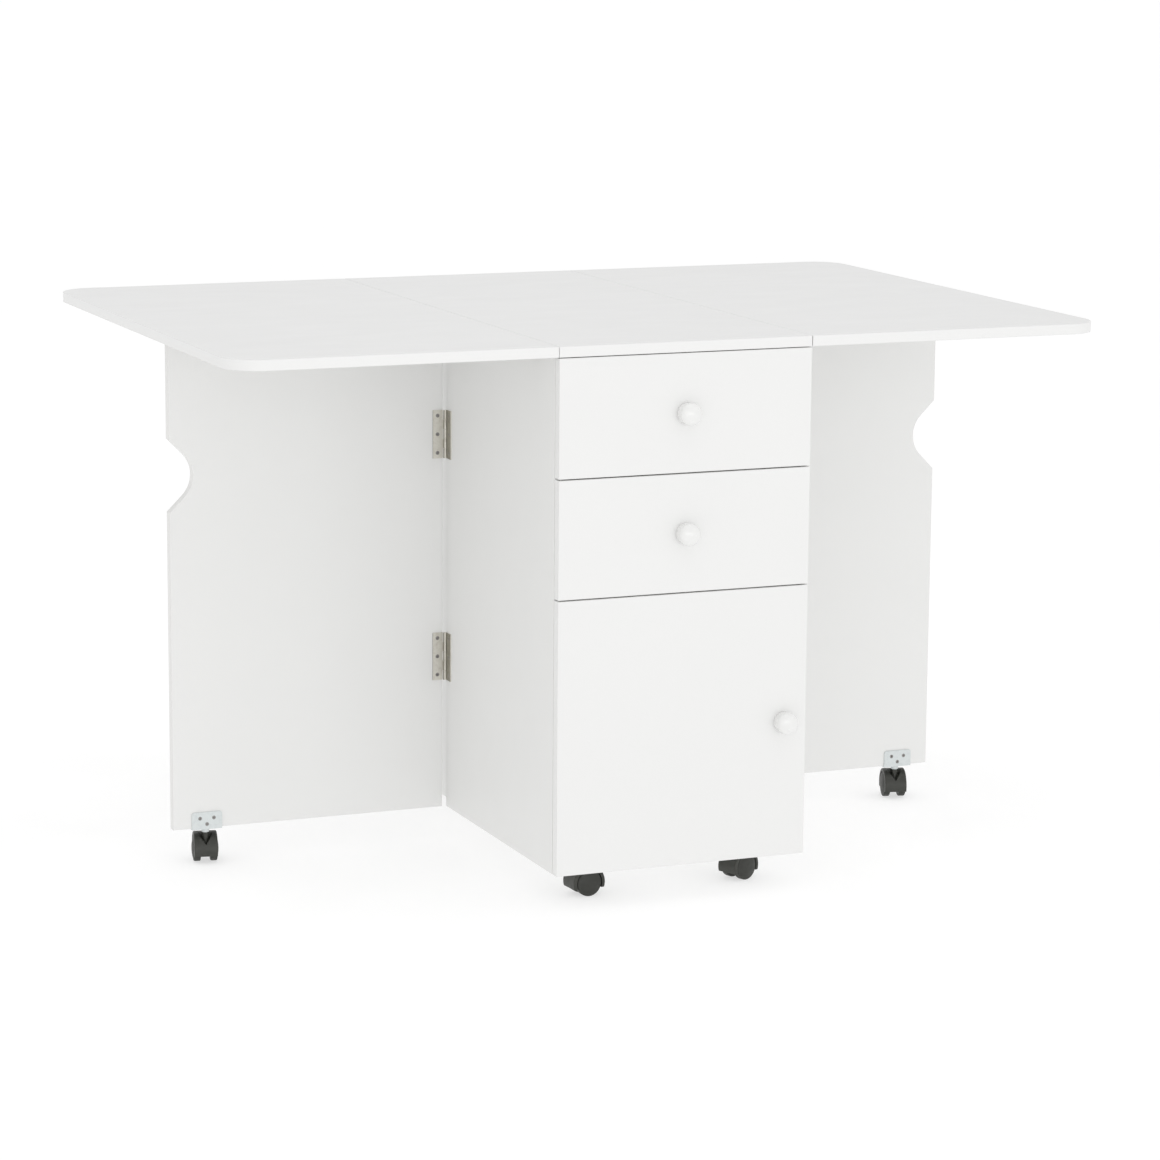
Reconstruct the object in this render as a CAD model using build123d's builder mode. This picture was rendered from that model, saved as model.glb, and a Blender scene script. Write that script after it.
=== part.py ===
from build123d import *
import os
from math import cos, radians, sin

os.makedirs("parts", exist_ok=True)

# A sewing table: a cabinet on casters with two drawers and a door, and a long top in three panels.
# Each side panel of the top is a leaf, held up by a gate that swings out from the cabinet.
# Millimetres. The floor is z = 0, the table faces -Y, and x = 0 is its middle plane.

# Top
top_length = 1375.0
top_depth = 942.0
table_height = 836.0
top_corner_radius = 55.0
seam = 1.0                     # open joint between the centre of the top and each leaf

# Boards
board = 16.0                   # melamine board of the top, cabinet, fronts and gates
edge_radius = 1.0              # softened edge of every visible board

# Cabinet
cabinet_width = 400.0
front_depth = 461.0            # from the face of the fronts to the rear edge of the front sides
rear_depth = 459.0             # of the narrower rear part, behind that edge
rear_inset = 20.0              # of the rear sides, which leaves room for a folded gate

# Drawer fronts and door
drawer_front_height = 175.0
front_gap = 1.8                # between one front and the next
front_top_gap = 1.2            # between the upper front and the top
front_side_reveal = 0.5        # of each front from the cabinet's outer face
front_stand_off = 0.8          # of the closed fronts from the carcass

# Drawer boxes and their rails
drawer_length = 400.0
drawer_side_height = 120.0
drawer_board = 14.0
drawer_lift = 14.0             # of the box above the lower edge of its front
drawer_side_play = 2.0
drawer_sheet = 4.0             # bottom
drawer_sheet_rise = 10.0
drawer_sheet_bite = 6.0        # of the bottom into the sides and the front
rail_height = 12.0
rail_screw_shares = (0.1, 0.5, 0.9)          # of the rail's length
rail_bite = 6.4                # of the rail into the groove of the drawer side
rail_slack = 0.3               # on each face of the rail that the groove runs on
rail_length = 380.0
rail_set_back = 4.0            # behind the front edge of the carcass

# Shelves, each halfway up its compartment
shelf_slack = 0.5              # at each end
door_shelf_rear_slack = 2.0    # to the middle panel
shelf_front_set_back = 14.0
shelf_pin_radius = 2.5
shelf_pin_length = 16.0
shelf_pin_hole = 9.0
shelf_pin_inset = 45.0         # from the front and back edge of a shelf
shelf_hole_pitch = 32.0
shelf_hole_rows = (-1, 0, 1)   # above and below the row in use

# Knobs
knob_radius = 16.5
knob_base_radius = 12.5
knob_projection = 25.0
knob_waist = 16.0              # from the front to the knob's widest place
knob_stud_radius = 2.0
knob_stud_length = 13.0
door_knob_inset = 37.0         # from the free edge of the door

# Concealed door hinges
cup_radius = 17.5
cup_depth = 11.5
cup_wall = 1.0
cup_edge_distance = 22.0       # cup centre to the hinged edge
cup_end_distance = 80.0        # cup centre to the ends of the door
cup_flange = 1.2               # let into the door's rear face
cup_flange_width = 38.0
cup_flange_height = 49.0
cup_flange_corner = 6.0
arm_height = 11.0
arm_depth = 8.0                # out from the cabinet's side
arm_slope = 4.0                # of the arm's ends
arm_nose_depth = 3.0           # of the arm into the open cup of the closed door
arm_nose_chamfer = 2.0
arm_side_gap = 1.0             # between the nose and the plane of the cabinet's side
arm_reach = 62.0               # from the carcass's front edge to the rear edge of the arm's plate
arm_plate_length = 30.0
arm_plate_height = 40.0
arm_screw_inset = 12.0         # from the plate's rear edge to the middle of its screws
arm_screw_pitch = 18.0

# Gates
gate_length = 437.0
gate_top_space = 8.0           # between a gate and the leaf above it
gate_hinge_play = 0.5          # between the knuckles and the gate's edge
gate_corner_radius = 7.0
notch_drop = 233.0             # centre of the finger notch below the table's surface
notch_depth = 37.0
notch_radius = 45.0
notch_lip_radius = 12.0

# Butt hinges, used on the gates and under the top
hinge_height = 75.0
hinge_leaf = 19.5              # from the pin to the outer edge of a leaf
hinge_plate = 1.6
knuckle_radius = 3.0
knuckle_count = 5
knuckle_gap = 0.4
pin_radius = 1.5
pin_clearance = 0.05
hinge_hole_offset = 12.0       # screw line to the pin
hinge_hole_pitch = 29.0
gate_hinge_drops = (190.0, 539.0)            # hinge centres below the table's surface
top_hinge_stations = (110.0, 400.0, 820.0)   # hinge centres behind the front edge
hinge_pocket_slack = 0.6

# Pads under the leaves, which rest on the gates and stop them
pad_length = 34.0
pad_lip = 3.2
pad_lip_drop = 8.0
pad_clearance = 0.3
pad_stations = (110.0, 390.0)                # pad centres from the hinged edge of a gate

# Screws
screw_core = 1.5
screw_head = 3.0
screw_length = 14.0
screw_slack = 0.1

# Twin-wheel casters
caster_stack = 54.0            # floor to the underside of the fixing plate
fixing_plate = 2.0
wheel_radius = 20.0
wheel_tread = 10.5             # width of a wheel at its rim
wheel_dome = 2.7               # of a wheel's outer face beyond its rim
wheel_space = 15.0             # between the two wheels
wheel_edge_radius = 2.0
wheel_bore_depth = 6.5
caster_trail = 10.0            # axle behind the stem
hood_radius = 26.5
hood_width = 36.0
hood_hem = 12.0                # lower edge above the floor
hood_edge_radius = 2.0
hood_notch_z = 30.0            # lowest point of the V-shaped notch in the hood's front
hood_notch_half = 12.0         # half the notch's width at the top of the hood
web_width = 13.0               # middle wall between the wheels
wheel_well_radius = 21.2
axle_radius = 3.0
boss_radius = 5.0
boss_top = 47.2
stem_radius = 3.5
stem_end_gap = 0.3
collar_radius = 5.8
collar_drop = 6.5
collar_rounding = 1.5
plate_side = 42.0
plate_hole_pitch = 30.0
cabinet_caster_inset = 72.5    # from the side of the cabinet
front_caster_station = 91.0    # behind the front edge of the top
rear_caster_inset = 105.0
rear_caster_station = 860.0
gate_caster_inset = 53.0       # from the outer edge of a gate
bracket_width = 48.0
bracket_height = 27.0
bracket_rear_overlap = 1.5
bracket_hole_spread = 11.0
bracket_holes = ((-1, 15.5), (1, 15.5), (0, 6.0))   # side of the middle, height above the gate's edge
cabinet_swivels = {"front_left": -84.0, "front_right": -67.0, "rear_left": 140.0, "rear_right": 20.0}
gate_swivels = {"left": -12.0, "right": -15.0}

# Places that follow from the sizes above
front_y = -(top_depth - knob_projection) / 2
back_y = front_y + top_depth
carcass_y = front_y + board + front_stand_off
joint_y = front_y + front_depth
rear_y = joint_y + rear_depth
half_cabinet = cabinet_width / 2
inner_half = half_cabinet - board
rear_half = half_cabinet - rear_inset
rear_inner_half = rear_half - board
carcass_z = caster_stack + fixing_plate
under_top = table_height - board
front_half = half_cabinet - front_side_reveal
upper_front_z = under_top - front_top_gap - drawer_front_height
lower_front_z = upper_front_z - front_gap - drawer_front_height
door_top_z = lower_front_z - front_gap
divider_z = door_top_z + front_gap / 2 - board / 2
floor_board_top = carcass_z + board
door_shelf_z = (carcass_z + door_top_z - board) / 2
rear_shelf_z = (floor_board_top + under_top - board) / 2
gate_pin_x = half_cabinet + knuckle_radius
gate_pin_y = joint_y - knuckle_radius
gate_inner_x = gate_pin_x + knuckle_radius + gate_hinge_play
gate_outer_x = gate_inner_x + gate_length
gate_top_z = under_top - gate_top_space
gate_caster_x = gate_outer_x - gate_caster_inset
gate_caster_y = joint_y + board / 2
top_pin_z = under_top - knuckle_radius
knuckle_clear = knuckle_radius + knuckle_gap
SIDES = {"left": -1, "right": 1}


def save(piece, name):
    """Label a finished piece and write it as one STEP file."""
    piece.label = name
    export_step(piece, f"parts/{name}.step")


def slab(x_span, y_span, z_span, mode=Mode.ADD):
    """A square block between two limits along each axis, in the part being built."""
    spans = (x_span, y_span, z_span)
    with Locations(tuple((low + high) / 2 for low, high in spans)):
        Box(*[abs(high - low) for low, high in spans], mode=mode)


def panel(x_span, y_span, z_span):
    """A plain board with softened edges."""
    with BuildPart() as made:
        slab(x_span, y_span, z_span)
        fillet(made.edges(), edge_radius)
    return made


def drill(planes, depth, radius=screw_core):
    """Blind holes that run down from the origins of the planes, in the part being built."""
    with Locations(*planes):
        Hole(radius, depth=depth)


# ---------------------------------------------------------------- butt hinges and screws
def hinge_frame(centre, along, away):
    """Plane at a hinge's middle: x along the leaf's plate, y away from the board, z along the pin."""
    return Plane(origin=centre, x_dir=along, z_dir=Vector(along).cross(Vector(away)))


def hinge_screw_planes(centre, along, away):
    """Planes on the face of a leaf's plate, one at each screw, facing away from the board."""
    frame = hinge_frame(centre, along, away)
    height = hinge_plate - knuckle_radius
    spots = [(hinge_hole_offset, height, row * hinge_hole_pitch) for row in (-1, 0, 1)]
    return [Plane(origin=frame.from_local_coords(spot), z_dir=away) for spot in spots]


def hinge_leaf_piece(centre, along, away, knuckles):
    """One leaf: a plate with countersunk holes, and its share of the knuckles round the pin."""
    frame = hinge_frame(centre, along, away)
    pitch = hinge_height / knuckle_count
    plate_y = hinge_plate / 2 - knuckle_radius
    with BuildPart() as leaf:
        with BuildSketch(frame.offset(-hinge_height / 2)):
            with Locations(((knuckle_clear + hinge_leaf) / 2, plate_y)):
                Rectangle(hinge_leaf - knuckle_clear, hinge_plate)
        extrude(amount=hinge_height)
        for index in knuckles:
            low = index * pitch - hinge_height / 2 + knuckle_gap / 2
            with BuildSketch(frame.offset(low)):
                Circle(knuckle_radius)
                with Locations((hinge_leaf / 2, plate_y)):
                    Rectangle(hinge_leaf, hinge_plate)
                Circle(pin_radius + pin_clearance, mode=Mode.SUBTRACT)
            extrude(amount=pitch - knuckle_gap)
        with Locations(*hinge_screw_planes(centre, along, away)):
            CounterSinkHole(screw_core + screw_slack, screw_head + screw_slack, depth=hinge_plate,
                            counter_sink_angle=90)
    return leaf.part


def screw_group(planes):
    """Countersunk screws whose heads are flush with the planes."""
    head_height = screw_head - screw_core
    with BuildPart() as screws:
        with Locations(*planes):
            Cylinder(screw_core, screw_length, align=(Align.CENTER, Align.CENTER, Align.MAX))
            Cone(screw_core, screw_head, head_height, align=(Align.CENTER, Align.CENTER, Align.MAX))
    return screws.part


def hinge_pin(centre, direction):
    """A plain pin as long as its hinge."""
    with BuildPart() as pin:
        with BuildSketch(Plane(origin=centre, z_dir=direction)):
            Circle(pin_radius)
        extrude(amount=hinge_height / 2, both=True)
    return pin.part


def gate_hinge_centres(side):
    return [(side * gate_pin_x, gate_pin_y, table_height - drop) for drop in gate_hinge_drops]


def top_hinge_centres(side):
    return [(side * half_cabinet, front_y + station, top_pin_z) for station in top_hinge_stations]


OUTER_KNUCKLES = range(0, knuckle_count, 2)
INNER_KNUCKLES = range(1, knuckle_count, 2)
DOWN = (0, 0, -1)
FORWARD = (0, -1, 0)


def outward(side):
    return (side, 0, 0)


def inward(side):
    return (-side, 0, 0)


def gate_leaf_screws(side):
    """Screws through the gate's own hinge leaves, into its front face."""
    return [plane for centre in gate_hinge_centres(side)
            for plane in hinge_screw_planes(centre, outward(side), FORWARD)]


def side_leaf_screws(side):
    """Screws through the fixed leaves of the gate hinges, into the cabinet's side."""
    return [plane for centre in gate_hinge_centres(side)
            for plane in hinge_screw_planes(centre, FORWARD, outward(side))]


def top_leaf_screws(side, along):
    """Screws up through one leaf of each hinge under the top."""
    return [plane for centre in top_hinge_centres(side)
            for plane in hinge_screw_planes(centre, along, DOWN)]


# ---------------------------------------------------------------- places of the small fittings
def drawer_rail_z(front_z):
    """Middle height of the rails of the drawer whose front starts at front_z."""
    return front_z + drawer_lift + drawer_side_height / 2


def rail_screw_planes(side):
    """Screws through the two drawer rails on one cabinet side."""
    face_x = side * (inner_half - drawer_side_play - rail_bite)
    rail_y = carcass_y + rail_set_back
    return [Plane(origin=(face_x, rail_y + share * rail_length, drawer_rail_z(front_z)), z_dir=inward(side))
            for front_z in (upper_front_z, lower_front_z) for share in rail_screw_shares]


def shelf_pin_planes(side, wall_x, y_span, shelf_z, rows):
    """Shelf pin holes on the inner face of a wall, at the given rows about the shelf's height."""
    pin_z = shelf_z - shelf_pin_radius
    return [Plane(origin=(side * wall_x, y, pin_z + row * shelf_hole_pitch), z_dir=inward(side))
            for y in (y_span[0] + shelf_pin_inset, y_span[1] - shelf_pin_inset) for row in rows]


door_shelf_span = (carcass_y + shelf_front_set_back, joint_y - board - door_shelf_rear_slack)
rear_shelf_span = (joint_y + shelf_slack, rear_y - shelf_front_set_back)
cup_x = -front_half + cup_edge_distance
cup_heights = (carcass_z + cup_end_distance, door_top_z - cup_end_distance)
arm_root_y = carcass_y + arm_reach
arm_screw_y = arm_root_y - arm_screw_inset
arm_screw_planes = [Plane(origin=(fixing_plate - inner_half, y, z), z_dir=(1, 0, 0))
                    for z in cup_heights
                    for y in (arm_screw_y - arm_screw_pitch / 2, arm_screw_y + arm_screw_pitch / 2)]
caster_stations = {
    f"{end}_{name}": (side * (half_cabinet - inset), front_y + station)
    for end, inset, station in (("front", cabinet_caster_inset, front_caster_station),
                                ("rear", rear_caster_inset, rear_caster_station))
    for name, side in SIDES.items()}
caster_plate_screws = {
    name: [Plane(origin=(x + dx * plate_hole_pitch / 2, y + dy * plate_hole_pitch / 2, caster_stack),
                 z_dir=DOWN) for dx in (-1, 1) for dy in (-1, 1)]
    for name, (x, y) in caster_stations.items()}


def bracket_screw_planes(side):
    """Screws through a gate caster's bracket, into the front face of the gate."""
    return [Plane(origin=(side * gate_caster_x + across * bracket_hole_spread, joint_y - fixing_plate,
                          carcass_z + height), z_dir=FORWARD) for across, height in bracket_holes]


# ---------------------------------------------------------------- top
centre_top = panel((seam / 2 - half_cabinet, half_cabinet - seam / 2), (front_y, back_y),
                   (under_top, table_height))
with centre_top:
    for side in SIDES.values():
        drill(top_leaf_screws(side, inward(side)), screw_length)
save(centre_top.part, "centre_top")


def leaf_group(name, side):
    """A leaf of the top with its hinge leaves, rest pads and screws."""
    inner_x = side * (half_cabinet + seam / 2)
    outer_x = side * top_length / 2
    hinge_screws = top_leaf_screws(side, outward(side))
    pad_x = [side * (gate_inner_x + station) for station in pad_stations]
    pad_y = (joint_y - pad_clearance - pad_lip, joint_y + board)
    pad_screws = [Plane(origin=(x, gate_caster_y, gate_top_z + pad_clearance), z_dir=DOWN) for x in pad_x]

    with BuildPart() as leaf:
        slab((inner_x, outer_x), (front_y, back_y), (under_top, table_height))
        outer_corners = leaf.edges().filter_by(Axis.Z).sort_by(Axis.X)
        fillet(outer_corners[-2:] if side > 0 else outer_corners[:2], top_corner_radius)
        rims = leaf.edges().group_by(Axis.Z)
        fillet(rims[0] + rims[-1], edge_radius)
        drill(hinge_screws + pad_screws, screw_length)
    save(leaf.part, f"{name}_leaf")

    with BuildPart() as pads:
        for x in pad_x:
            pad_span = (x - pad_length / 2, x + pad_length / 2)
            slab(pad_span, pad_y, (gate_top_z + pad_clearance, under_top))
            slab(pad_span, (pad_y[0], pad_y[0] + pad_lip), (gate_top_z - pad_lip_drop, under_top))
        fillet(pads.edges().filter_by(Axis.Z), edge_radius)
        with Locations(*pad_screws):
            CounterSinkHole(screw_core + screw_slack, screw_head + screw_slack, depth=gate_top_space,
                            counter_sink_angle=90)
    save(pads.part, f"{name}_leaf_rest_pads")

    leaves = [hinge_leaf_piece(centre, outward(side), DOWN, INNER_KNUCKLES)
              for centre in top_hinge_centres(side)]
    save(Compound(children=leaves), f"{name}_leaf_hinge_leaves")
    save(screw_group(hinge_screws + pad_screws), f"{name}_leaf_screws")


for side_name, side_sign in SIDES.items():
    leaf_group(side_name, side_sign)


# ---------------------------------------------------------------- cabinet
def front_side(side):
    """A side of the front part, pocketed at its top edge for the hinges of the leaf."""
    made = panel((side * inner_half, side * half_cabinet), (carcass_y, joint_y), (carcass_z, under_top))
    pocket_z = under_top - 2 * knuckle_radius - hinge_pocket_slack
    pocket_half = hinge_height / 2 + hinge_pocket_slack
    with made:
        for _, y, _ in top_hinge_centres(side)[:2]:
            slab((side * inner_half, side * half_cabinet), (y - pocket_half, y + pocket_half),
                 (pocket_z, under_top), mode=Mode.SUBTRACT)
        drill(side_leaf_screws(side) + rail_screw_planes(side), screw_length)
        drill(shelf_pin_planes(side, inner_half, door_shelf_span, door_shelf_z, shelf_hole_rows),
              shelf_pin_hole, shelf_pin_radius)
        if side < 0:
            drill(arm_screw_planes, screw_length)
    return made.part


def rear_side(side):
    """A side of the rear part, set in from the front part's side."""
    made = panel((side * rear_inner_half, side * rear_half), (joint_y, rear_y), (carcass_z, under_top))
    with made:
        drill(shelf_pin_planes(side, rear_inner_half, rear_shelf_span, rear_shelf_z, shelf_hole_rows),
              shelf_pin_hole, shelf_pin_radius)
    return made.part


def floor_board(half_width, y_span, end):
    """A bottom board with the pilot holes of the caster plates under it."""
    made = panel((-half_width, half_width), y_span, (carcass_z, floor_board_top))
    with made:
        for name in SIDES:
            drill(caster_plate_screws[f"{end}_{name}"], screw_length)
    return made.part


for side_name, side_sign in SIDES.items():
    save(front_side(side_sign), f"front_side_{side_name}")
    save(rear_side(side_sign), f"rear_side_{side_name}")

save(floor_board(inner_half, (carcass_y, joint_y - board), "front"), "front_bottom")
save(floor_board(rear_inner_half, (joint_y, rear_y), "rear"), "rear_bottom")

middle_panel = panel((-inner_half, inner_half), (joint_y - board, joint_y), (carcass_z, under_top))
save(middle_panel.part, "middle_panel")

drawer_divider = panel((-inner_half, inner_half), (carcass_y, joint_y - board),
                       (divider_z, divider_z + board))
save(drawer_divider.part, "drawer_divider")

adjustable_shelf = panel((shelf_slack - inner_half, inner_half - shelf_slack), door_shelf_span,
                         (door_shelf_z, door_shelf_z + board))
save(adjustable_shelf.part, "adjustable_shelf")

rear_shelf = panel((shelf_slack - rear_inner_half, rear_inner_half - shelf_slack), rear_shelf_span,
                   (rear_shelf_z, rear_shelf_z + board))
save(rear_shelf.part, "rear_shelf")

with BuildPart() as shelf_pins:
    for side in SIDES.values():
        pin_planes = (shelf_pin_planes(side, inner_half, door_shelf_span, door_shelf_z, (0,))
                      + shelf_pin_planes(side, rear_inner_half, rear_shelf_span, rear_shelf_z, (0,)))
        with Locations(*[plane.offset(-shelf_pin_hole) for plane in pin_planes]):
            Cylinder(shelf_pin_radius, shelf_pin_length, align=(Align.CENTER, Align.CENTER, Align.MIN))
save(shelf_pins.part, "shelf_pins")

with BuildPart() as drawer_rails:
    for side in SIDES.values():
        for front_z in (upper_front_z, lower_front_z):
            rail_z = drawer_rail_z(front_z)
            slab((side * inner_half, side * (inner_half - drawer_side_play - rail_bite)),
                 (carcass_y + rail_set_back, carcass_y + rail_set_back + rail_length),
                 (rail_z - rail_height / 2, rail_z + rail_height / 2))
    fillet(drawer_rails.edges().filter_by(Axis.X), edge_radius)
    with Locations(*(rail_screw_planes(-1) + rail_screw_planes(1))):
        CounterSinkHole(screw_core + screw_slack, screw_head + screw_slack,
                        depth=drawer_side_play + rail_bite, counter_sink_angle=90)
save(drawer_rails.part, "drawer_rails")

# Each arm is a plate on the cabinet's side that reaches forward to a nose in the open cup.
with BuildPart() as door_hinge_arms:
    nose_y = front_y + board - arm_nose_depth
    wall_x = -inner_half
    for z in cup_heights:
        slab((wall_x, wall_x + fixing_plate), (arm_root_y - arm_plate_length, arm_root_y),
             (z - arm_plate_height / 2, z + arm_plate_height / 2))
        with BuildSketch(Plane.XY.offset(z - arm_height / 2)):
            with BuildLine():
                Polyline((wall_x, arm_root_y - arm_slope), (wall_x + arm_depth, arm_root_y - 2 * arm_slope),
                         (wall_x + arm_depth, nose_y + arm_nose_chamfer),
                         (wall_x + arm_depth - arm_nose_chamfer, nose_y),
                         (wall_x + arm_side_gap, nose_y), (wall_x + arm_side_gap, carcass_y + arm_slope),
                         (wall_x, carcass_y + 2 * arm_slope), close=True)
            make_face()
        extrude(amount=arm_height)
    with Locations(*arm_screw_planes):
        CounterSinkHole(screw_core + screw_slack, screw_head + screw_slack, depth=fixing_plate,
                        counter_sink_angle=90)
save(door_hinge_arms.part, "door_hinge_arms")

gate_fixed_leaves = [hinge_leaf_piece(centre, FORWARD, outward(side), OUTER_KNUCKLES)
                     for side in SIDES.values() for centre in gate_hinge_centres(side)]
save(Compound(children=gate_fixed_leaves), "gate_hinge_fixed_leaves")

top_fixed_leaves = [hinge_leaf_piece(centre, inward(side), DOWN, OUTER_KNUCKLES)
                    for side in SIDES.values() for centre in top_hinge_centres(side)]
save(Compound(children=top_fixed_leaves), "top_hinge_fixed_leaves")

pins = [hinge_pin(centre, (0, 0, 1)) for side in SIDES.values() for centre in gate_hinge_centres(side)]
pins += [hinge_pin(centre, (0, 1, 0)) for side in SIDES.values() for centre in top_hinge_centres(side)]
save(Compound(children=pins), "hinge_pins")


# ---------------------------------------------------------------- casters
def add_collar(x, y):
    """The bearing collar that hangs under a fixing plate, with a blind bore for the stem."""
    with Locations((x, y, caster_stack)):
        Cylinder(collar_radius, collar_drop, align=(Align.CENTER, Align.CENTER, Align.MAX))


def finish_collars(made, places):
    """Rounds the lower edge of each collar and bores it, in the part being built."""
    rims = made.edges().filter_by(GeomType.CIRCLE).group_by(Axis.Z)[0]
    fillet(rims, collar_rounding)
    with Locations(*[(x, y, caster_stack - collar_drop / 2) for x, y in places]):
        Cylinder(stem_radius + pin_clearance, collar_drop, mode=Mode.SUBTRACT)


with BuildPart() as caster_plates:
    for x, y in caster_stations.values():
        slab((x - plate_side / 2, x + plate_side / 2), (y - plate_side / 2, y + plate_side / 2),
             (caster_stack, carcass_z))
        add_collar(x, y)
    finish_collars(caster_plates, caster_stations.values())
    for screw_planes in caster_plate_screws.values():
        with Locations(*screw_planes):
            CounterSinkHole(screw_core + screw_slack, screw_head + screw_slack, depth=fixing_plate,
                            counter_sink_angle=90)
save(caster_plates.part, "caster_plates")

cabinet_screw_planes = list(arm_screw_planes)
for side in SIDES.values():
    cabinet_screw_planes += side_leaf_screws(side) + top_leaf_screws(side, inward(side))
    cabinet_screw_planes += rail_screw_planes(side)
for screw_planes in caster_plate_screws.values():
    cabinet_screw_planes += screw_planes
save(screw_group(cabinet_screw_planes), "cabinet_screws")


def caster(name, x, y, swivel_angle):
    """A hooded twin-wheel caster. swivel_angle turns its axle from +X about the stem."""
    turn = radians(swivel_angle)
    swivel = Plane(origin=(x, y, 0), x_dir=(cos(turn), sin(turn), 0), z_dir=(0, 0, 1))
    axle_centre = swivel.from_local_coords((0, caster_trail, wheel_radius))
    across = Plane(origin=axle_centre, x_dir=swivel.y_dir, z_dir=swivel.x_dir)
    lengthwise = Plane(origin=axle_centre, x_dir=swivel.x_dir, z_dir=-swivel.y_dir)
    axle_line = Axis(axle_centre, swivel.x_dir)

    with BuildPart() as housing:
        with BuildSketch(across):
            Circle(hood_radius)
            with Locations((0, hood_hem - wheel_radius - hood_radius)):
                Rectangle(3 * hood_radius, 2 * hood_radius, mode=Mode.SUBTRACT)
        extrude(amount=hood_width / 2, both=True)
        fillet(housing.edges().filter_by(GeomType.CIRCLE), hood_edge_radius)
        # The notch opens the hood's front and top, as far back as the rear of the boss.
        with BuildSketch(lengthwise.offset(caster_trail - boss_radius)):
            with BuildLine():
                Polyline((-hood_notch_half, hood_radius), (hood_notch_half, hood_radius),
                         (0, hood_notch_z - wheel_radius), close=True)
            make_face()
        extrude(amount=hood_radius, mode=Mode.SUBTRACT)
        with BuildSketch(swivel.offset(wheel_radius)):
            Circle(boss_radius)
        extrude(amount=boss_top - wheel_radius)
        for end in (-1, 1):
            with BuildSketch(across.offset(end * web_width / 2)):
                Circle(wheel_well_radius)
            extrude(amount=end * hood_width, mode=Mode.SUBTRACT)
        with BuildSketch(swivel.offset(boss_top)):
            Circle(stem_radius)
        extrude(amount=caster_stack - boss_top - stem_end_gap)
        with BuildSketch(across):
            Circle(axle_radius + pin_clearance)
        extrude(amount=hood_width, both=True, mode=Mode.SUBTRACT)
    save(housing.part, f"{name}_caster_housing")

    with BuildPart() as axle:
        with BuildSketch(across):
            Circle(axle_radius)
        extrude(amount=wheel_space / 2 + wheel_bore_depth, both=True)

    solids = [axle.part]
    for end in (-1, 1):
        inner = end * wheel_space / 2
        rim = end * (wheel_space / 2 + wheel_tread)
        bulge = rim + end * wheel_dome
        bore_end = inner + end * wheel_bore_depth
        shoulder = wheel_radius - wheel_edge_radius
        with BuildPart() as wheel:
            with BuildSketch(lengthwise):
                with BuildLine():
                    Polyline((bulge, 0), (bore_end, 0), (bore_end, axle_radius), (inner, axle_radius),
                             (inner, shoulder))
                    Bezier((inner, shoulder), (inner, wheel_radius),
                           (inner + end * wheel_edge_radius, wheel_radius))
                    Line((inner + end * wheel_edge_radius, wheel_radius),
                         (rim - end * wheel_edge_radius, wheel_radius))
                    Bezier((rim - end * wheel_edge_radius, wheel_radius), (rim, wheel_radius),
                           (rim, shoulder))
                    Bezier((rim, shoulder), (bulge, shoulder / 2), (bulge, 0))
                make_face()
            revolve(axis=axle_line)
        solids.append(wheel.part)
    save(Compound(children=solids), f"{name}_caster_wheels")


for caster_name, (caster_x, caster_y) in caster_stations.items():
    caster(caster_name, caster_x, caster_y, cabinet_swivels[caster_name])


# ---------------------------------------------------------------- knobs
QUARTER = 0.5523               # handle of a Bezier curve that follows a quarter of an ellipse


def knob(x, z):
    """A round knob with a screwed stud, standing out of a front at (x, front_y, z)."""
    dome = knob_projection - knob_waist
    with BuildPart() as made:
        with BuildSketch(Plane(origin=(x, front_y, z), x_dir=(1, 0, 0), z_dir=(0, 0, -1))):
            with BuildLine():
                Polyline((0, knob_projection), (0, -knob_stud_length),
                         (knob_stud_radius, -knob_stud_length), (knob_stud_radius, 0),
                         (knob_base_radius, 0))
                Bezier((knob_base_radius, 0), (knob_base_radius, knob_waist / 2),
                       (knob_radius, knob_waist / 2), (knob_radius, knob_waist))
                Bezier((knob_radius, knob_waist), (knob_radius, knob_waist + QUARTER * dome),
                       (knob_radius * QUARTER, knob_projection), (0, knob_projection))
            make_face()
        revolve(axis=Axis((x, front_y, z), (0, -1, 0)))
    return made.part


def knob_hole(x, z):
    """The blind hole of a knob's stud, in the front being built."""
    drill([Plane(origin=(x, front_y, z), z_dir=FORWARD)], knob_stud_length, knob_stud_radius)


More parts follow.
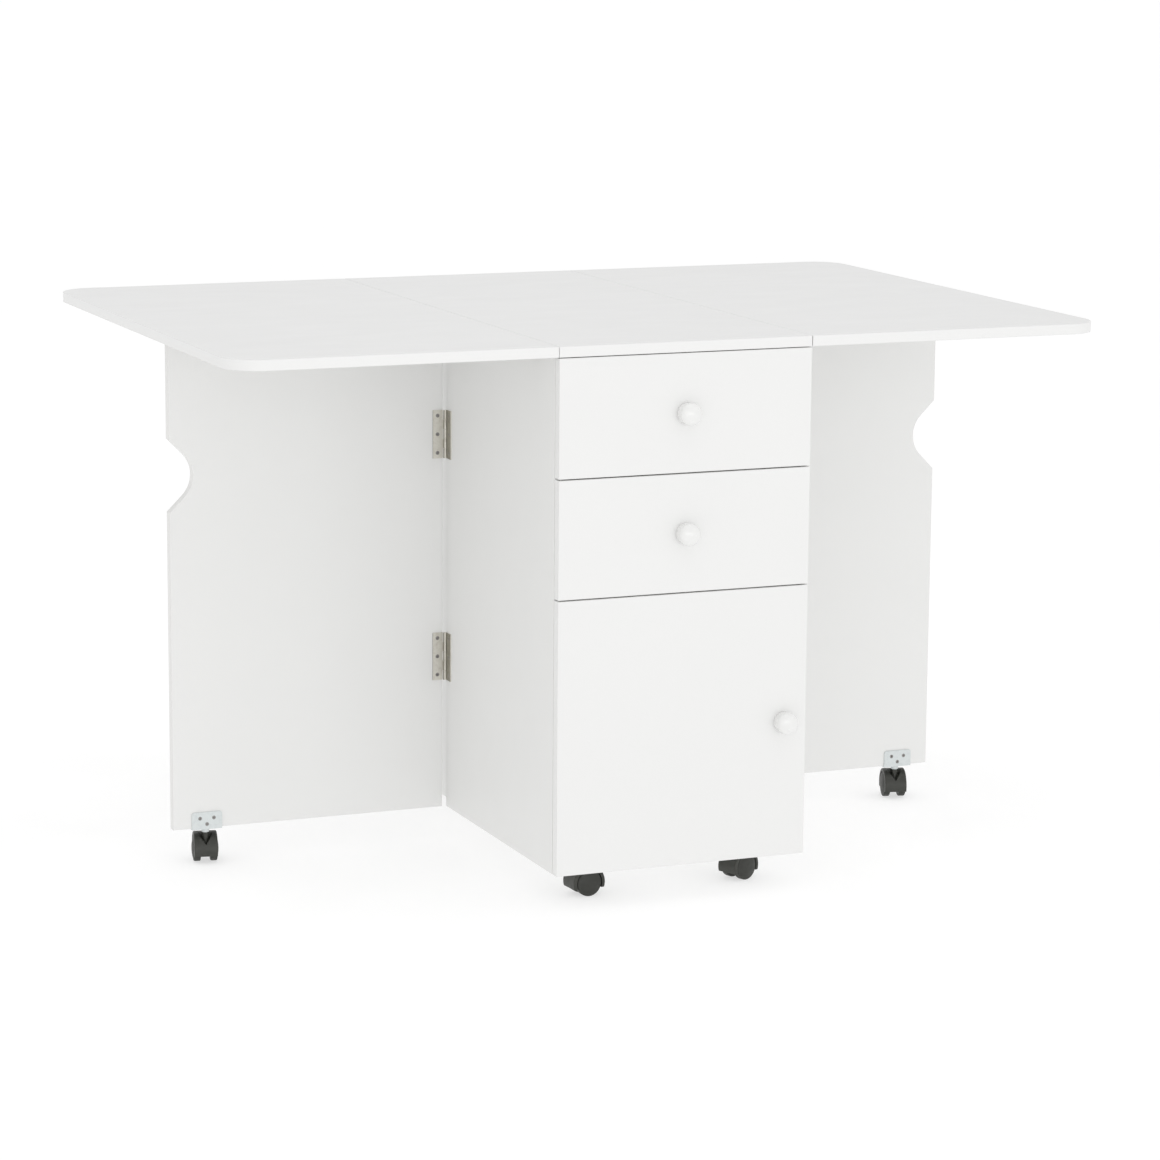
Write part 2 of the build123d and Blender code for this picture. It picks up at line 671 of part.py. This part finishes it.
# ---------------------------------------------------------------- drawers
def drawer(name, front_z):
    """A drawer: a front with its knob, two grooved sides, a back and a sheet bottom."""
    box_y = front_y + board
    box_end = box_y + drawer_length
    box_z = front_z + drawer_lift
    side_outer = inner_half - drawer_side_play
    side_inner = side_outer - drawer_board
    sheet_z = (box_z + drawer_sheet_rise, box_z + drawer_sheet_rise + drawer_sheet)
    sheet_half = side_inner + drawer_sheet_bite
    groove_half = rail_height / 2 + rail_slack
    rail_z = drawer_rail_z(front_z)
    knob_z = front_z + drawer_front_height / 2

    front = panel((-front_half, front_half), (front_y, box_y), (front_z, front_z + drawer_front_height))
    with front:
        knob_hole(0, knob_z)
        slab((-sheet_half, sheet_half), (box_y - drawer_sheet_bite, box_y), sheet_z, mode=Mode.SUBTRACT)
    save(front.part, f"{name}_front")

    with BuildPart() as sides:
        for side in SIDES.values():
            slab((side * side_inner, side * side_outer), (box_y, box_end),
                 (box_z, box_z + drawer_side_height))
            slab((side * (side_outer - rail_bite - 2 * rail_slack), side * side_outer),
                 (box_y, box_end), (rail_z - groove_half, rail_z + groove_half), mode=Mode.SUBTRACT)
            slab((side * side_inner, side * sheet_half), (box_y, box_end), sheet_z, mode=Mode.SUBTRACT)
    save(sides.part, f"{name}_sides")

    with BuildPart() as back:
        slab((-side_inner, side_inner), (box_end - drawer_board, box_end),
             (sheet_z[1], box_z + drawer_side_height))
    save(back.part, f"{name}_back")

    with BuildPart() as sheet:
        slab((-sheet_half, sheet_half), (box_y - drawer_sheet_bite, box_end), sheet_z)
    save(sheet.part, f"{name}_bottom")
    save(knob(0, knob_z), f"{name}_knob")


drawer("upper_drawer", upper_front_z)
drawer("lower_drawer", lower_front_z)

# ---------------------------------------------------------------- door
door_knob_x = front_half - door_knob_inset
door_knob_z = (carcass_z + door_top_z) / 2
cup_planes = [Plane(origin=(cup_x, front_y + board, z), x_dir=(1, 0, 0), z_dir=(0, 1, 0))
              for z in cup_heights]

door_panel = panel((-front_half, front_half), (front_y, front_y + board), (carcass_z, door_top_z))
with door_panel:
    knob_hole(door_knob_x, door_knob_z)
    drill(cup_planes, cup_depth, cup_radius)
    for plane in cup_planes:
        with BuildSketch(plane) as flange:
            RectangleRounded(cup_flange_width, cup_flange_height, cup_flange_corner)
        extrude(flange.sketch, amount=-cup_flange, mode=Mode.SUBTRACT)
save(door_panel.part, "door_panel")
save(knob(door_knob_x, door_knob_z), "door_knob")

with BuildPart() as door_hinge_cups:
    for plane in cup_planes:
        with BuildSketch(plane):
            RectangleRounded(cup_flange_width, cup_flange_height, cup_flange_corner)
        extrude(amount=-cup_flange)
        with BuildSketch(plane):
            Circle(cup_radius)
        extrude(amount=-cup_depth)
        with BuildSketch(plane):
            Circle(cup_radius - cup_wall)
        extrude(amount=cup_wall - cup_depth, mode=Mode.SUBTRACT)
save(door_hinge_cups.part, "door_hinge_cups")


# ---------------------------------------------------------------- gates
def gate_group(name, side):
    """A gate with its hinge leaves, caster bracket, screws and caster."""
    notch_z = table_height - notch_drop
    # Straight sides at 45 degrees, rounded at the bottom of the notch, reach exactly notch_depth.
    notch_half = notch_depth + notch_radius * (2 ** 0.5 - 1)
    inner_x = side * gate_inner_x
    outer_x = side * gate_outer_x

    with BuildPart() as gate:
        with BuildSketch(Plane(origin=(0, joint_y, 0), x_dir=(1, 0, 0), z_dir=FORWARD)) as outline:
            with BuildLine():
                Polyline((inner_x, carcass_z), (outer_x, carcass_z), (outer_x, notch_z - notch_half),
                         (outer_x - side * notch_half, notch_z), (outer_x, notch_z + notch_half),
                         (outer_x, gate_top_z), (inner_x, gate_top_z), close=True)
            make_face()
            corners = outline.vertices().sort_by(Axis.X, reverse=side > 0)
            lips = [corner for corner in corners[:4] if abs(corner.Z - notch_z) < notch_half + 1]
            ends = [corner for corner in corners[:4] if corner not in lips]
            fillet(corners[4], notch_radius)
            fillet(lips, notch_lip_radius)
            fillet(ends, gate_corner_radius)
        extrude(amount=-board)
        faces = gate.edges().group_by(Axis.Y)
        fillet(faces[0] + faces[-1], edge_radius)
        drill(gate_leaf_screws(side) + bracket_screw_planes(side), screw_length)
    save(gate.part, f"{name}_gate_panel")

    leaves = [hinge_leaf_piece(centre, outward(side), FORWARD, INNER_KNUCKLES)
              for centre in gate_hinge_centres(side)]
    save(Compound(children=leaves), f"{name}_gate_hinge_leaves")

    caster_x = side * gate_caster_x
    bracket_span = (caster_x - bracket_width / 2, caster_x + bracket_width / 2)
    with BuildPart() as bracket:
        slab(bracket_span, (joint_y - fixing_plate, joint_y + board + bracket_rear_overlap),
             (caster_stack, carcass_z))
        slab(bracket_span, (joint_y - fixing_plate, joint_y),
             (caster_stack, caster_stack + bracket_height))
        fillet(bracket.edges().filter_by(Axis.Y).group_by(Axis.Z)[-1], 2 * fixing_plate)
        add_collar(caster_x, gate_caster_y)
        finish_collars(bracket, [(caster_x, gate_caster_y)])
        with Locations(*bracket_screw_planes(side)):
            CounterSinkHole(screw_core + screw_slack, screw_head + screw_slack, depth=fixing_plate,
                            counter_sink_angle=90)
    save(bracket.part, f"{name}_gate_caster_bracket")

    save(screw_group(gate_leaf_screws(side) + bracket_screw_planes(side)), f"{name}_gate_screws")
    caster(f"{name}_gate", caster_x, gate_caster_y, gate_swivels[name])


for side_name, side_sign in SIDES.items():
    gate_group(side_name, side_sign)
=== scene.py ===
import math

import bmesh
import bpy
from mathutils import Matrix, Quaternion, Vector


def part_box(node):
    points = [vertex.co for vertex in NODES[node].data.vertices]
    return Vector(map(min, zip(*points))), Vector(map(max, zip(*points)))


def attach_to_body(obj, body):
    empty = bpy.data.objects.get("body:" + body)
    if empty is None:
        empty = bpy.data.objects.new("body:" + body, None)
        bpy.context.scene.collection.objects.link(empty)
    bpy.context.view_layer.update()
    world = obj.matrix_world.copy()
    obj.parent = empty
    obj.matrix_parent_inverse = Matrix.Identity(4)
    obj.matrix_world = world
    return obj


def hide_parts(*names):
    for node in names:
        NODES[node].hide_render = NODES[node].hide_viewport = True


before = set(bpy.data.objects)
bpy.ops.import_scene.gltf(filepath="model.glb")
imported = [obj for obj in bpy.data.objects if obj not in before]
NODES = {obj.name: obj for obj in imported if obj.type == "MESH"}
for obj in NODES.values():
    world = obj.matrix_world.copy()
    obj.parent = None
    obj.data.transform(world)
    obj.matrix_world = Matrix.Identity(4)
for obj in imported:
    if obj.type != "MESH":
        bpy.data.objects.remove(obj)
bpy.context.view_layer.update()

MM = 0.001
MIX_SHARE, MIX_FIRST, MIX_SECOND, MIX_RESULT = 0, 6, 7, 2      # a Mix node's sockets for colours


# ---------------------------------------------------------------- node materials
def node(tree, kind, sockets=None, **settings):
    """One shader node. A socket value that is itself a socket is linked, any other is set."""
    made = tree.nodes.new("ShaderNode" + kind)
    for name, value in settings.items():
        setattr(made, name, value)
    for name, value in (sockets or {}).items():
        if isinstance(value, bpy.types.NodeSocket):
            tree.links.new(value, made.inputs[name])
        else:
            made.inputs[name].default_value = value
    return made


def math_node(tree, operation, *values):
    """The result of a Math node on up to three numbers or sockets."""
    return node(tree, "Math", dict(enumerate(values)), operation=operation).outputs[0]


def noise(tree, place, scale, detail=2.0, roughness=0.5):
    """A noise pattern, about 0.5, with features of 1 / scale metres."""
    return node(tree, "TexNoise", {"Vector": place, "Scale": scale, "Detail": detail,
                                   "Roughness": roughness}).outputs["Fac"]


def stretched(tree, place, factors):
    """Coordinates scaled along each axis, for grain and brush marks."""
    return node(tree, "Mapping", {"Vector": place, "Scale": factors}).outputs["Vector"]


def spread(tree, value, low, high, low_in=0.0, high_in=1.0):
    """A value moved from one range to another, and held inside it."""
    return node(tree, "MapRange", {"Value": value, "From Min": low_in, "From Max": high_in,
                                   "To Min": low, "To Max": high}).outputs["Result"]


def blend_colour(tree, share, first, second):
    """A colour between two colours or colour sockets."""
    mixed = node(tree, "Mix", data_type="RGBA")
    for index, value in ((MIX_SHARE, share), (MIX_FIRST, first), (MIX_SECOND, second)):
        socket = mixed.inputs[index]
        if isinstance(value, bpy.types.NodeSocket):
            tree.links.new(value, socket)
        else:
            socket.default_value = value if socket.type != "RGBA" else (*value, 1.0)
    return mixed.outputs[MIX_RESULT]


def bump(tree, height, strength, distance, below=None):
    """A bump in metres, on top of another one if given."""
    sockets = {"Height": height, "Strength": strength, "Distance": distance}
    if below is not None:
        sockets["Normal"] = below
    return node(tree, "Bump", sockets).outputs["Normal"]


def new_material(name, **constants):
    """A material with one Principled shader, whose plain values sit on its own sockets."""
    made = bpy.data.materials.new(name)
    made.use_nodes = True
    shader = made.node_tree.nodes["Principled BSDF"]
    for socket, value in constants.items():
        shader.inputs[socket.replace("_", " ")].default_value = value
    return made, made.node_tree, shader


def attach(tree, shader, **links):
    """Links patterns to the shader's sockets."""
    for socket, value in links.items():
        tree.links.new(value, shader.inputs[socket.replace("_", " ")])


def own_place(tree):
    """Coordinates fixed to the object."""
    return node(tree, "TexCoord").outputs["Object"]


def side_share(tree, axis):
    """How far a face is turned along one axis of its object, 0 to 1."""
    normal = node(tree, "TexCoord").outputs["Normal"]
    parts = node(tree, "SeparateXYZ", {"Vector": normal})
    return math_node(tree, "ABSOLUTE", parts.outputs[axis])


# ---------------------------------------------------------------- melamine board
BOARD_TONES = {
    # face, edge band, rubbed arris, mean roughness
    "top_melamine": ((0.790, 0.790, 0.785), (0.810, 0.810, 0.803), (0.76, 0.76, 0.75), 0.40),
    "carcass_melamine": ((0.800, 0.800, 0.788), (0.800, 0.800, 0.788), (0.70, 0.70, 0.68), 0.44),
    "front_melamine": ((0.805, 0.805, 0.797), (0.805, 0.805, 0.797), (0.72, 0.72, 0.70), 0.42),
    "gate_melamine": ((0.800, 0.800, 0.790), (0.790, 0.788, 0.775), (0.70, 0.70, 0.68), 0.44),
    "drawer_board": ((0.740, 0.735, 0.715), (0.700, 0.690, 0.660), (0.55, 0.54, 0.51), 0.55),
    "drawer_sheet": ((0.700, 0.690, 0.660), (0.560, 0.500, 0.420), (0.50, 0.46, 0.40), 0.60),
}
# Patterns: features per metre, then depths in metres and shades as shares of the face's colour
CLOUD_SCALE, WAVE_SCALE, MARK_SCALE = 5.0, 14.0, 9.0
CHIP_SCALE, FLECK_SCALE, DIMPLE_SCALE = 60.0, 420.0, 700.0
MARK_STRETCH = (1.0, 2.2, 1.6)
DIMPLE_DEPTH, WAVE_DEPTH = 0.04 * MM, 0.25 * MM
CLOUD_SHADE, FLECK_SHADE = 0.993, 0.95
ARRIS_MIDDLE, ARRIS_REACH = 0.60, 0.28         # of a face's turn, where the arris lies
BAND_ROUGHER = 0.06
melamines = {}


def melamine(slot, thin_axis):
    """White melamine board: a dimpled skin, an edge band, rubbed arrises and faint hand marks."""
    if (slot, thin_axis) in melamines:
        return melamines[slot, thin_axis]
    face, band, rubbed, mean_roughness = BOARD_TONES[slot]
    made, tree, shader = new_material(f"{slot}_{'xyz'[thin_axis]}", Specular_IOR_Level=0.5)
    place = own_place(tree)
    facing = side_share(tree, thin_axis)
    on_band = spread(tree, facing, 1.0, 0.0, 0.10, 0.30)
    on_arris = math_node(tree, "COMPARE", facing, ARRIS_MIDDLE, ARRIS_REACH)

    cloud = noise(tree, place, CLOUD_SCALE, 3.0)
    fleck = noise(tree, place, FLECK_SCALE, 2.0, 0.6)
    dimples = noise(tree, place, DIMPLE_SCALE, 1.5)
    marks = noise(tree, stretched(tree, place, MARK_STRETCH), MARK_SCALE, 4.0, 0.6)
    chips = spread(tree, noise(tree, place, CHIP_SCALE, 3.0), 0.0, 1.0, 0.45, 0.75)

    tint = spread(tree, cloud, 0.0, 1.0, 0.35, 0.65)
    toned = blend_colour(tree, tint, face, tuple(CLOUD_SHADE * value for value in face))
    flecked = spread(tree, fleck, 0.0, 0.25, 0.55, 0.75)
    toned = blend_colour(tree, flecked, toned, tuple(FLECK_SHADE * value for value in face))
    toned = blend_colour(tree, on_band, toned, band)
    worn = math_node(tree, "MULTIPLY", on_arris, spread(tree, chips, 0.25, 0.9))
    toned = blend_colour(tree, worn, toned, rubbed)
    rough = spread(tree, marks, mean_roughness - 0.05, mean_roughness + 0.07, 0.3, 0.7)
    rough = math_node(tree, "ADD", rough, math_node(tree, "MULTIPLY", on_band, BAND_ROUGHER))
    skin = bump(tree, dimples, 0.22, DIMPLE_DEPTH)
    attach(tree, shader, Base_Color=toned, Roughness=rough,
           Normal=bump(tree, noise(tree, place, WAVE_SCALE, 2.0), 0.10, WAVE_DEPTH, skin))
    melamines[slot, thin_axis] = made
    return made


# ---------------------------------------------------------------- plastic and plated steel
FLOW_SCALE, FLOW_STRETCH, SHEEN_SCALE, GRAIN_SCALE = 40.0, (1.0, 1.0, 3.0), 120.0, 2600.0
GRAIN_DEPTH, BRUSH_DEPTH = 0.03 * MM, 0.02 * MM
DUST_GAIN, DUST_LIFT = 1.03, 0.012             # how dust lightens a colour
DULL_SCALE, DULL_ROUGHER = 160.0, 0.12
X_AXIS = 0


def moulded(name, colour, roughness, grain, **constants):
    """Moulded plastic: fine spark-eroded grain, faint flow marks and a little dust in the matt parts."""
    made, tree, shader = new_material(name, **constants)
    place = own_place(tree)
    flow = noise(tree, stretched(tree, place, FLOW_STRETCH), FLOW_SCALE, 3.0)
    dusty = tuple(DUST_GAIN * value + DUST_LIFT for value in colour)
    toned = blend_colour(tree, spread(tree, flow, 0.0, 0.45, 0.4, 0.75), colour, dusty)
    sheen = noise(tree, place, SHEEN_SCALE, 3.0)
    rough = spread(tree, sheen, roughness - 0.06, roughness + 0.08, 0.3, 0.7)
    attach(tree, shader, Base_Color=toned, Roughness=rough,
           Normal=bump(tree, noise(tree, place, GRAIN_SCALE, 2.0), grain, GRAIN_DEPTH))
    return made


def metal(name, colour, dark, roughness, brush, along=(1.0, 1.0, 1.0), metallic=1.0, side_shade=None):
    """Plated steel: brush marks along one direction, darker spots where the plate has dulled.

    The colour given for the sides is painted shade: faces turned to the left or right take it, in
    streaks along the brush marks.
    """
    made, tree, shader = new_material(name, Metallic=metallic)
    place = own_place(tree)
    marks = noise(tree, stretched(tree, place, along), brush, 3.0, 0.7)
    dull = spread(tree, noise(tree, place, DULL_SCALE, 4.0, 0.65), 0.0, 1.0, 0.48, 0.72)
    toned = blend_colour(tree, dull, colour, dark)
    # painted shade: faces turned to the left or right take the darker side colour, in streaks along the
    # brush marks
    if side_shade is not None:
        turned = spread(tree, side_share(tree, X_AXIS), 0.0, 1.0, 0.25, 0.85)
        streaks = spread(tree, marks, 0.72, 1.0, 0.35, 0.6)
        toned = blend_colour(tree, math_node(tree, "MULTIPLY", turned, streaks), toned, side_shade)
    rough = math_node(tree, "ADD", spread(tree, marks, roughness - 0.08, roughness + 0.10, 0.3, 0.7),
                      math_node(tree, "MULTIPLY", dull, DULL_ROUGHER))
    attach(tree, shader, Base_Color=toned, Roughness=rough, Normal=bump(tree, marks, 0.25, BRUSH_DEPTH))
    return made


FINISHES = {
    "knob_gloss": moulded("knob_gloss", (0.795, 0.795, 0.785), 0.22, 0.02,
                          Coat_Weight=0.35, Coat_Roughness=0.06),
    "white_plastic": moulded("white_plastic", (0.80, 0.80, 0.78), 0.45, 0.2),
    # the hinge's much darker side colour is painted shade on its faces turned left or right
    "hinge_steel": metal("hinge_steel", (0.72, 0.70, 0.64), (0.64, 0.61, 0.55), 0.38, 900.0,
                         along=(1.0, 1.0, 0.02), side_shade=(0.26, 0.25, 0.21)),
    "nickel_steel": metal("nickel_steel", (0.68, 0.67, 0.64), (0.45, 0.43, 0.40), 0.30, 1200.0),
    "zinc_steel": metal("zinc_steel", (0.665, 0.70, 0.70), (0.61, 0.645, 0.65), 0.42, 700.0,
                        along=(0.1, 1.0, 1.0), metallic=0.45),
    "screw_steel": metal("screw_steel", (0.34, 0.33, 0.32), (0.20, 0.19, 0.18), 0.36, 1500.0),
    "caster_housing_black": moulded("caster_housing_black", (0.031, 0.032, 0.026), 0.42, 0.35),
    "wheel_black": moulded("wheel_black", (0.024, 0.025, 0.020), 0.5, 0.3),
}


def slot_of(name):
    """The record's material slot of a CAD node."""
    held = NODES[name].data.materials
    return held[0].name.split(".")[0] if held and held[0] else None


def finish_of(name):
    """The material of a CAD node; a board's depends on which way it is thin."""
    slot = slot_of(name)
    if slot not in BOARD_TONES:
        return FINISHES[slot]
    low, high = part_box(name)
    sides = [high[axis] - low[axis] for axis in range(3)]
    return melamine(slot, sides.index(min(sides)))


for name, carried in NODES.items():
    finish = finish_of(name)
    for index in range(len(carried.data.materials)):
        carried.data.materials[index] = finish
        carried.material_slots[index].material = finish


def show_in_place_of(node_name, word, mesh, body, slot):
    """Shows a mesh instead of a CAD node, on the node's body and in its material slot."""
    mesh.materials.append(FINISHES[slot])
    made = bpy.data.objects.new(f"{node_name}_{word}", mesh)
    bpy.context.scene.collection.objects.link(made)
    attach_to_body(made, body)
    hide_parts(node_name)


# ---------------------------------------------------------------- cross-headed screws
SCREW_BODIES = {
    "cabinet_screws": "cabinet",
    "left_gate_screws": "left_gate",
    "right_gate_screws": "right_gate",
    "left_leaf_screws": "left_leaf",
    "right_leaf_screws": "right_leaf",
}
# Radius and height of each ring, from the rim to the point, mm
SCREW_PROFILE = [(2.86, 0.0), (3.0, -0.1), (1.5, -1.58), (1.5, -12.6), (0.35, -14.0)]
SCREW_POINTS = 36                      # round each ring
CROSS_MOUTH = (1.75, 0.42, 0.0)        # half length, half width and height, mm
CROSS_FOOT = (0.85, 0.26, -1.15)
END_BAND = 0.2 * MM                    # how near a corner is to count as at a screw's end
SNAP = 1e-5                            # metres; corners in one snapped place are one corner
GOLDEN_TURN = 2.39996                  # radians from one screw's cross to the next one's


def leader_of(leaders, key):
    """The corner that stands for the whole loose body that a corner belongs to."""
    while leaders[key] != key:
        leaders[key] = leaders[leaders[key]]
        key = leaders[key]
    return key


def islands(mesh):
    """The loose bodies of a mesh, each as a list of snapped places."""
    keys = [tuple(round(value / SNAP) for value in vertex.co) for vertex in mesh.vertices]
    leaders = {key: key for key in keys}
    for face in mesh.polygons:
        first = leader_of(leaders, keys[face.vertices[0]])
        for corner in face.vertices[1:]:
            leaders[leader_of(leaders, keys[corner])] = first
    groups = {}
    for key in sorted(leaders):
        groups.setdefault(leader_of(leaders, key), []).append(Vector(key) * SNAP)
    return [groups[key] for key in sorted(groups)]


def screw_place(points):
    """Head centre of a screw and the direction its head faces, out of its wider end."""
    low = [min(point[axis] for point in points) for axis in range(3)]
    high = [max(point[axis] for point in points) for axis in range(3)]
    length = max(range(3), key=lambda axis: high[axis] - low[axis])
    middle = (Vector(low) + Vector(high)) / 2
    reach = {}
    for sign, end in ((-1, low[length]), (1, high[length])):
        near = [point for point in points if abs(point[length] - end) < END_BAND]
        reach[sign] = max((point - middle).length for point in near)
    sign = max(reach, key=reach.get)
    middle[length] = high[length] if sign > 0 else low[length]
    facing = Vector((0, 0, 0))
    facing[length] = sign
    return middle, facing


def cross_outline(shape, half, width, height):
    """Twelve points round a cross with arms of equal length."""
    corners = [(half, -width), (half, width), (width, width)]
    made = []
    for turn in range(4):
        spin = Matrix.Rotation(turn * math.pi / 2, 3, "Z")
        made += [shape.verts.new(spin @ Vector((x, y, height)) * MM) for x, y in corners]
    return made


def ring(shape, radius, height):
    """Corners round the Z axis."""
    turns = (2 * math.pi * index / SCREW_POINTS for index in range(SCREW_POINTS))
    return [shape.verts.new(Vector((radius * math.cos(turn), radius * math.sin(turn), height)) * MM)
            for turn in turns]


def close_between(shape, upper, lower):
    """Faces between two loops with the same number of corners."""
    count = len(upper)
    for index in range(count):
        after = (index + 1) % count
        shape.faces.new((upper[index], lower[index], lower[after], upper[after]))


def screw_template():
    """Corners and faces of one countersunk screw with a cross recess, head up at the origin."""
    shape = bmesh.new()
    rings = [ring(shape, radius, height) for radius, height in SCREW_PROFILE]
    for upper, lower in zip(rings, rings[1:]):
        close_between(shape, upper, lower)
    shape.faces.new(reversed(rings[-1]))
    mouth = cross_outline(shape, *CROSS_MOUTH)
    foot = cross_outline(shape, *CROSS_FOOT)
    close_between(shape, foot, mouth)
    shape.faces.new(foot)
    rim = [shape.edges.get((a, b)) for a, b in zip(rings[0], rings[0][1:] + rings[0][:1])]
    lip = [shape.edges.get((a, b)) for a, b in zip(mouth, mouth[1:] + mouth[:1])]
    bmesh.ops.triangle_fill(shape, edges=rim + lip, use_beauty=True, normal=(0, 0, 1))
    bmesh.ops.recalc_face_normals(shape, faces=shape.faces)
    shape.verts.index_update()
    corners = [vertex.co.copy() for vertex in shape.verts]
    faces = [[vertex.index for vertex in face.verts] for face in shape.faces]
    shape.free()
    return corners, faces


def make_screws(name, body, template):
    """Cross-headed screws in the places of one node's plain ones, each turned its own way."""
    corners, faces = template
    points, sides = [], []
    for count, group in enumerate(islands(NODES[name].data)):
        head, facing = screw_place(group)
        turn = facing.to_track_quat("Z", "Y") @ Quaternion((0, 0, 1), GOLDEN_TURN * count)
        start = len(points)
        points += [head + turn @ corner for corner in corners]
        sides += [[start + index for index in face] for face in faces]
    mesh = bpy.data.meshes.new(f"{name}_crossed")
    mesh.from_pydata(points, [], sides)
    show_in_place_of(name, "crossed", mesh, body, "screw_steel")


screw = screw_template()
for name, body in SCREW_BODIES.items():
    make_screws(name, body, screw)


# ---------------------------------------------------------------- knobs
KNOB_BODIES = {
    "upper_drawer_knob": "upper_drawer",
    "lower_drawer_knob": "lower_drawer",
    "door_knob": "door",
}
KNOB_RADIUS = 16.5                     # mm, at the widest place
KNOB_DOME = 9.0                        # mm, from the front to the widest place
# Radius and depth behind the front of each ring of the skirt and stud, mm
KNOB_SKIRT = [(16.45, 11.5), (16.2, 16.0), (15.9, 20.5), (15.7, 23.6), (15.4, 24.6), (14.7, 25.0)]
KNOB_STUD = [(2.0, 25.0), (2.0, 38.0)]
KNOB_POINTS = 72                       # round each ring
DOME_STEPS = 14


def knob_profile():
    """Radius and depth behind the front of each ring, from near the pole to the end of the stud."""
    turns = [math.pi / 2 * step / DOME_STEPS for step in range(1, DOME_STEPS + 1)]
    dome = [(KNOB_RADIUS * math.sin(turn), KNOB_DOME * (1 - math.cos(turn))) for turn in turns]
    return dome + KNOB_SKIRT + KNOB_STUD


def make_knob(name, body):
    """A turned knob whose skirt is nearly straight, in the place of the CAD knob."""
    low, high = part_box(name)
    middle_x, front, middle_z = (low[0] + high[0]) / 2, low[1], (low[2] + high[2]) / 2
    turns = [2 * math.pi * index / KNOB_POINTS for index in range(KNOB_POINTS)]
    shape = bmesh.new()
    pole = shape.verts.new((middle_x, front, middle_z))
    rings = []
    for radius, depth in knob_profile():
        places = [(middle_x + radius * MM * math.cos(turn), front + depth * MM,
                   middle_z + radius * MM * math.sin(turn)) for turn in turns]
        rings.append([shape.verts.new(place) for place in places])
    for first, second in zip(rings[0], rings[0][1:] + rings[0][:1]):
        shape.faces.new((pole, first, second))
    for upper, lower in zip(rings, rings[1:]):
        close_between(shape, upper, lower)
    shape.faces.new(rings[-1])
    bmesh.ops.recalc_face_normals(shape, faces=shape.faces)
    mesh = bpy.data.meshes.new(f"{name}_turned")
    shape.to_mesh(mesh)
    shape.free()
    mesh.shade_smooth()
    show_in_place_of(name, "turned", mesh, body, "knob_gloss")


for name, body in KNOB_BODIES.items():
    make_knob(name, body)


# ---------------------------------------------------------------- floor, light and camera
FLOOR_RADIUS = 90.0                    # metres
FLOOR_POINTS = 96
FLOOR_TONES = ((0.44, 0.44, 0.44), (0.46, 0.46, 0.46))
FLOOR_GLOW = 0.60
MOTTLE_SCALE = 3.0
WORLD_STRENGTH = 0.88
WHITE = (1.0, 1.0, 1.0, 1.0)
SOFTBOXES = {
    # place, target and size in metres, watts
    "front": ((-2.6, -6.6, 1.9), (0.0, 0.0, 0.45), (4.4, 3.0), 22.0),
    "above": ((-0.4, -0.8, 4.2), (0.0, -0.1, 0.8), (4.0, 3.0), 17.0),
    "low": ((0.4, -6.8, 0.9), (0.1, 0.0, 0.5), (5.0, 1.5), 34.0),
    "right": ((3.8, -4.2, 2.8), (0.2, -0.1, 0.5), (2.2, 2.0), 4.0),
}


def make_floor():
    """A wide pale floor, large enough to fill the picture to its upper edge."""
    mesh = bpy.data.meshes.new("floor")
    shape = bmesh.new()
    bmesh.ops.create_circle(shape, cap_ends=True, segments=FLOOR_POINTS, radius=FLOOR_RADIUS)
    shape.to_mesh(mesh)
    shape.free()
    floor = bpy.data.objects.new("floor", mesh)
    bpy.context.scene.collection.objects.link(floor)
    made, tree, shader = new_material("floor_paint", Specular_IOR_Level=0.1, Roughness=0.9,
                                      Emission_Color=WHITE, Emission_Strength=FLOOR_GLOW)
    mottle = spread(tree, noise(tree, own_place(tree), MOTTLE_SCALE, 4.0), 0.0, 1.0, 0.4, 0.6)
    attach(tree, shader, Base_Color=blend_colour(tree, mottle, *FLOOR_TONES))
    mesh.materials.append(made)


def make_world(strength):
    """Even white light from all round."""
    world = bpy.data.worlds.new("studio")
    world.use_nodes = True
    background = world.node_tree.nodes["Background"]
    background.inputs["Color"].default_value = WHITE
    background.inputs["Strength"].default_value = strength
    bpy.context.scene.world = world


def make_softbox(name, place, target, size, watts):
    """A rectangular area light that looks at a point."""
    lamp = bpy.data.lights.new(name, "AREA")
    lamp.shape = "RECTANGLE"
    lamp.size, lamp.size_y = size
    lamp.energy = watts
    held = bpy.data.objects.new(name, lamp)
    held.location = place
    held.rotation_mode = "QUATERNION"
    held.rotation_quaternion = (Vector(target) - Vector(place)).to_track_quat("-Z", "Y")
    bpy.context.scene.collection.objects.link(held)


CAMERA_PLACE = (-2.2755, -5.5723, 1.5356)
CAMERA_YAW = 0.3913            # right of +Y, radians
CAMERA_PITCH = 0.1858          # below the horizon
CAMERA_ROLL = 0.0075           # anticlockwise turn of the camera about its own axis
CAMERA_LENS = 121.0            # millimetres
CAMERA_SENSOR = 36.0           # millimetres
CAMERA_REACH = 300.0           # metres, past the far edge of the floor


def make_camera():
    """The camera at the photograph's viewing angle."""
    data = bpy.data.cameras.new("camera")
    data.sensor_width = CAMERA_SENSOR
    data.lens = CAMERA_LENS
    data.clip_end = CAMERA_REACH
    camera = bpy.data.objects.new("camera", data)
    camera.location = CAMERA_PLACE
    camera.rotation_mode = "QUATERNION"
    turn = Quaternion((0, 0, 1), -CAMERA_YAW) @ Quaternion((1, 0, 0), math.pi / 2 - CAMERA_PITCH)
    camera.rotation_quaternion = turn @ Quaternion((0, 0, 1), CAMERA_ROLL)
    bpy.context.scene.collection.objects.link(camera)
    bpy.context.scene.camera = camera


make_floor()
make_world(WORLD_STRENGTH)
for name, (place, target, size, watts) in SOFTBOXES.items():
    make_softbox(name, place, target, size, watts)
make_camera()
bpy.context.scene.view_settings.view_transform = "Standard"

bpy.context.view_layer.update()
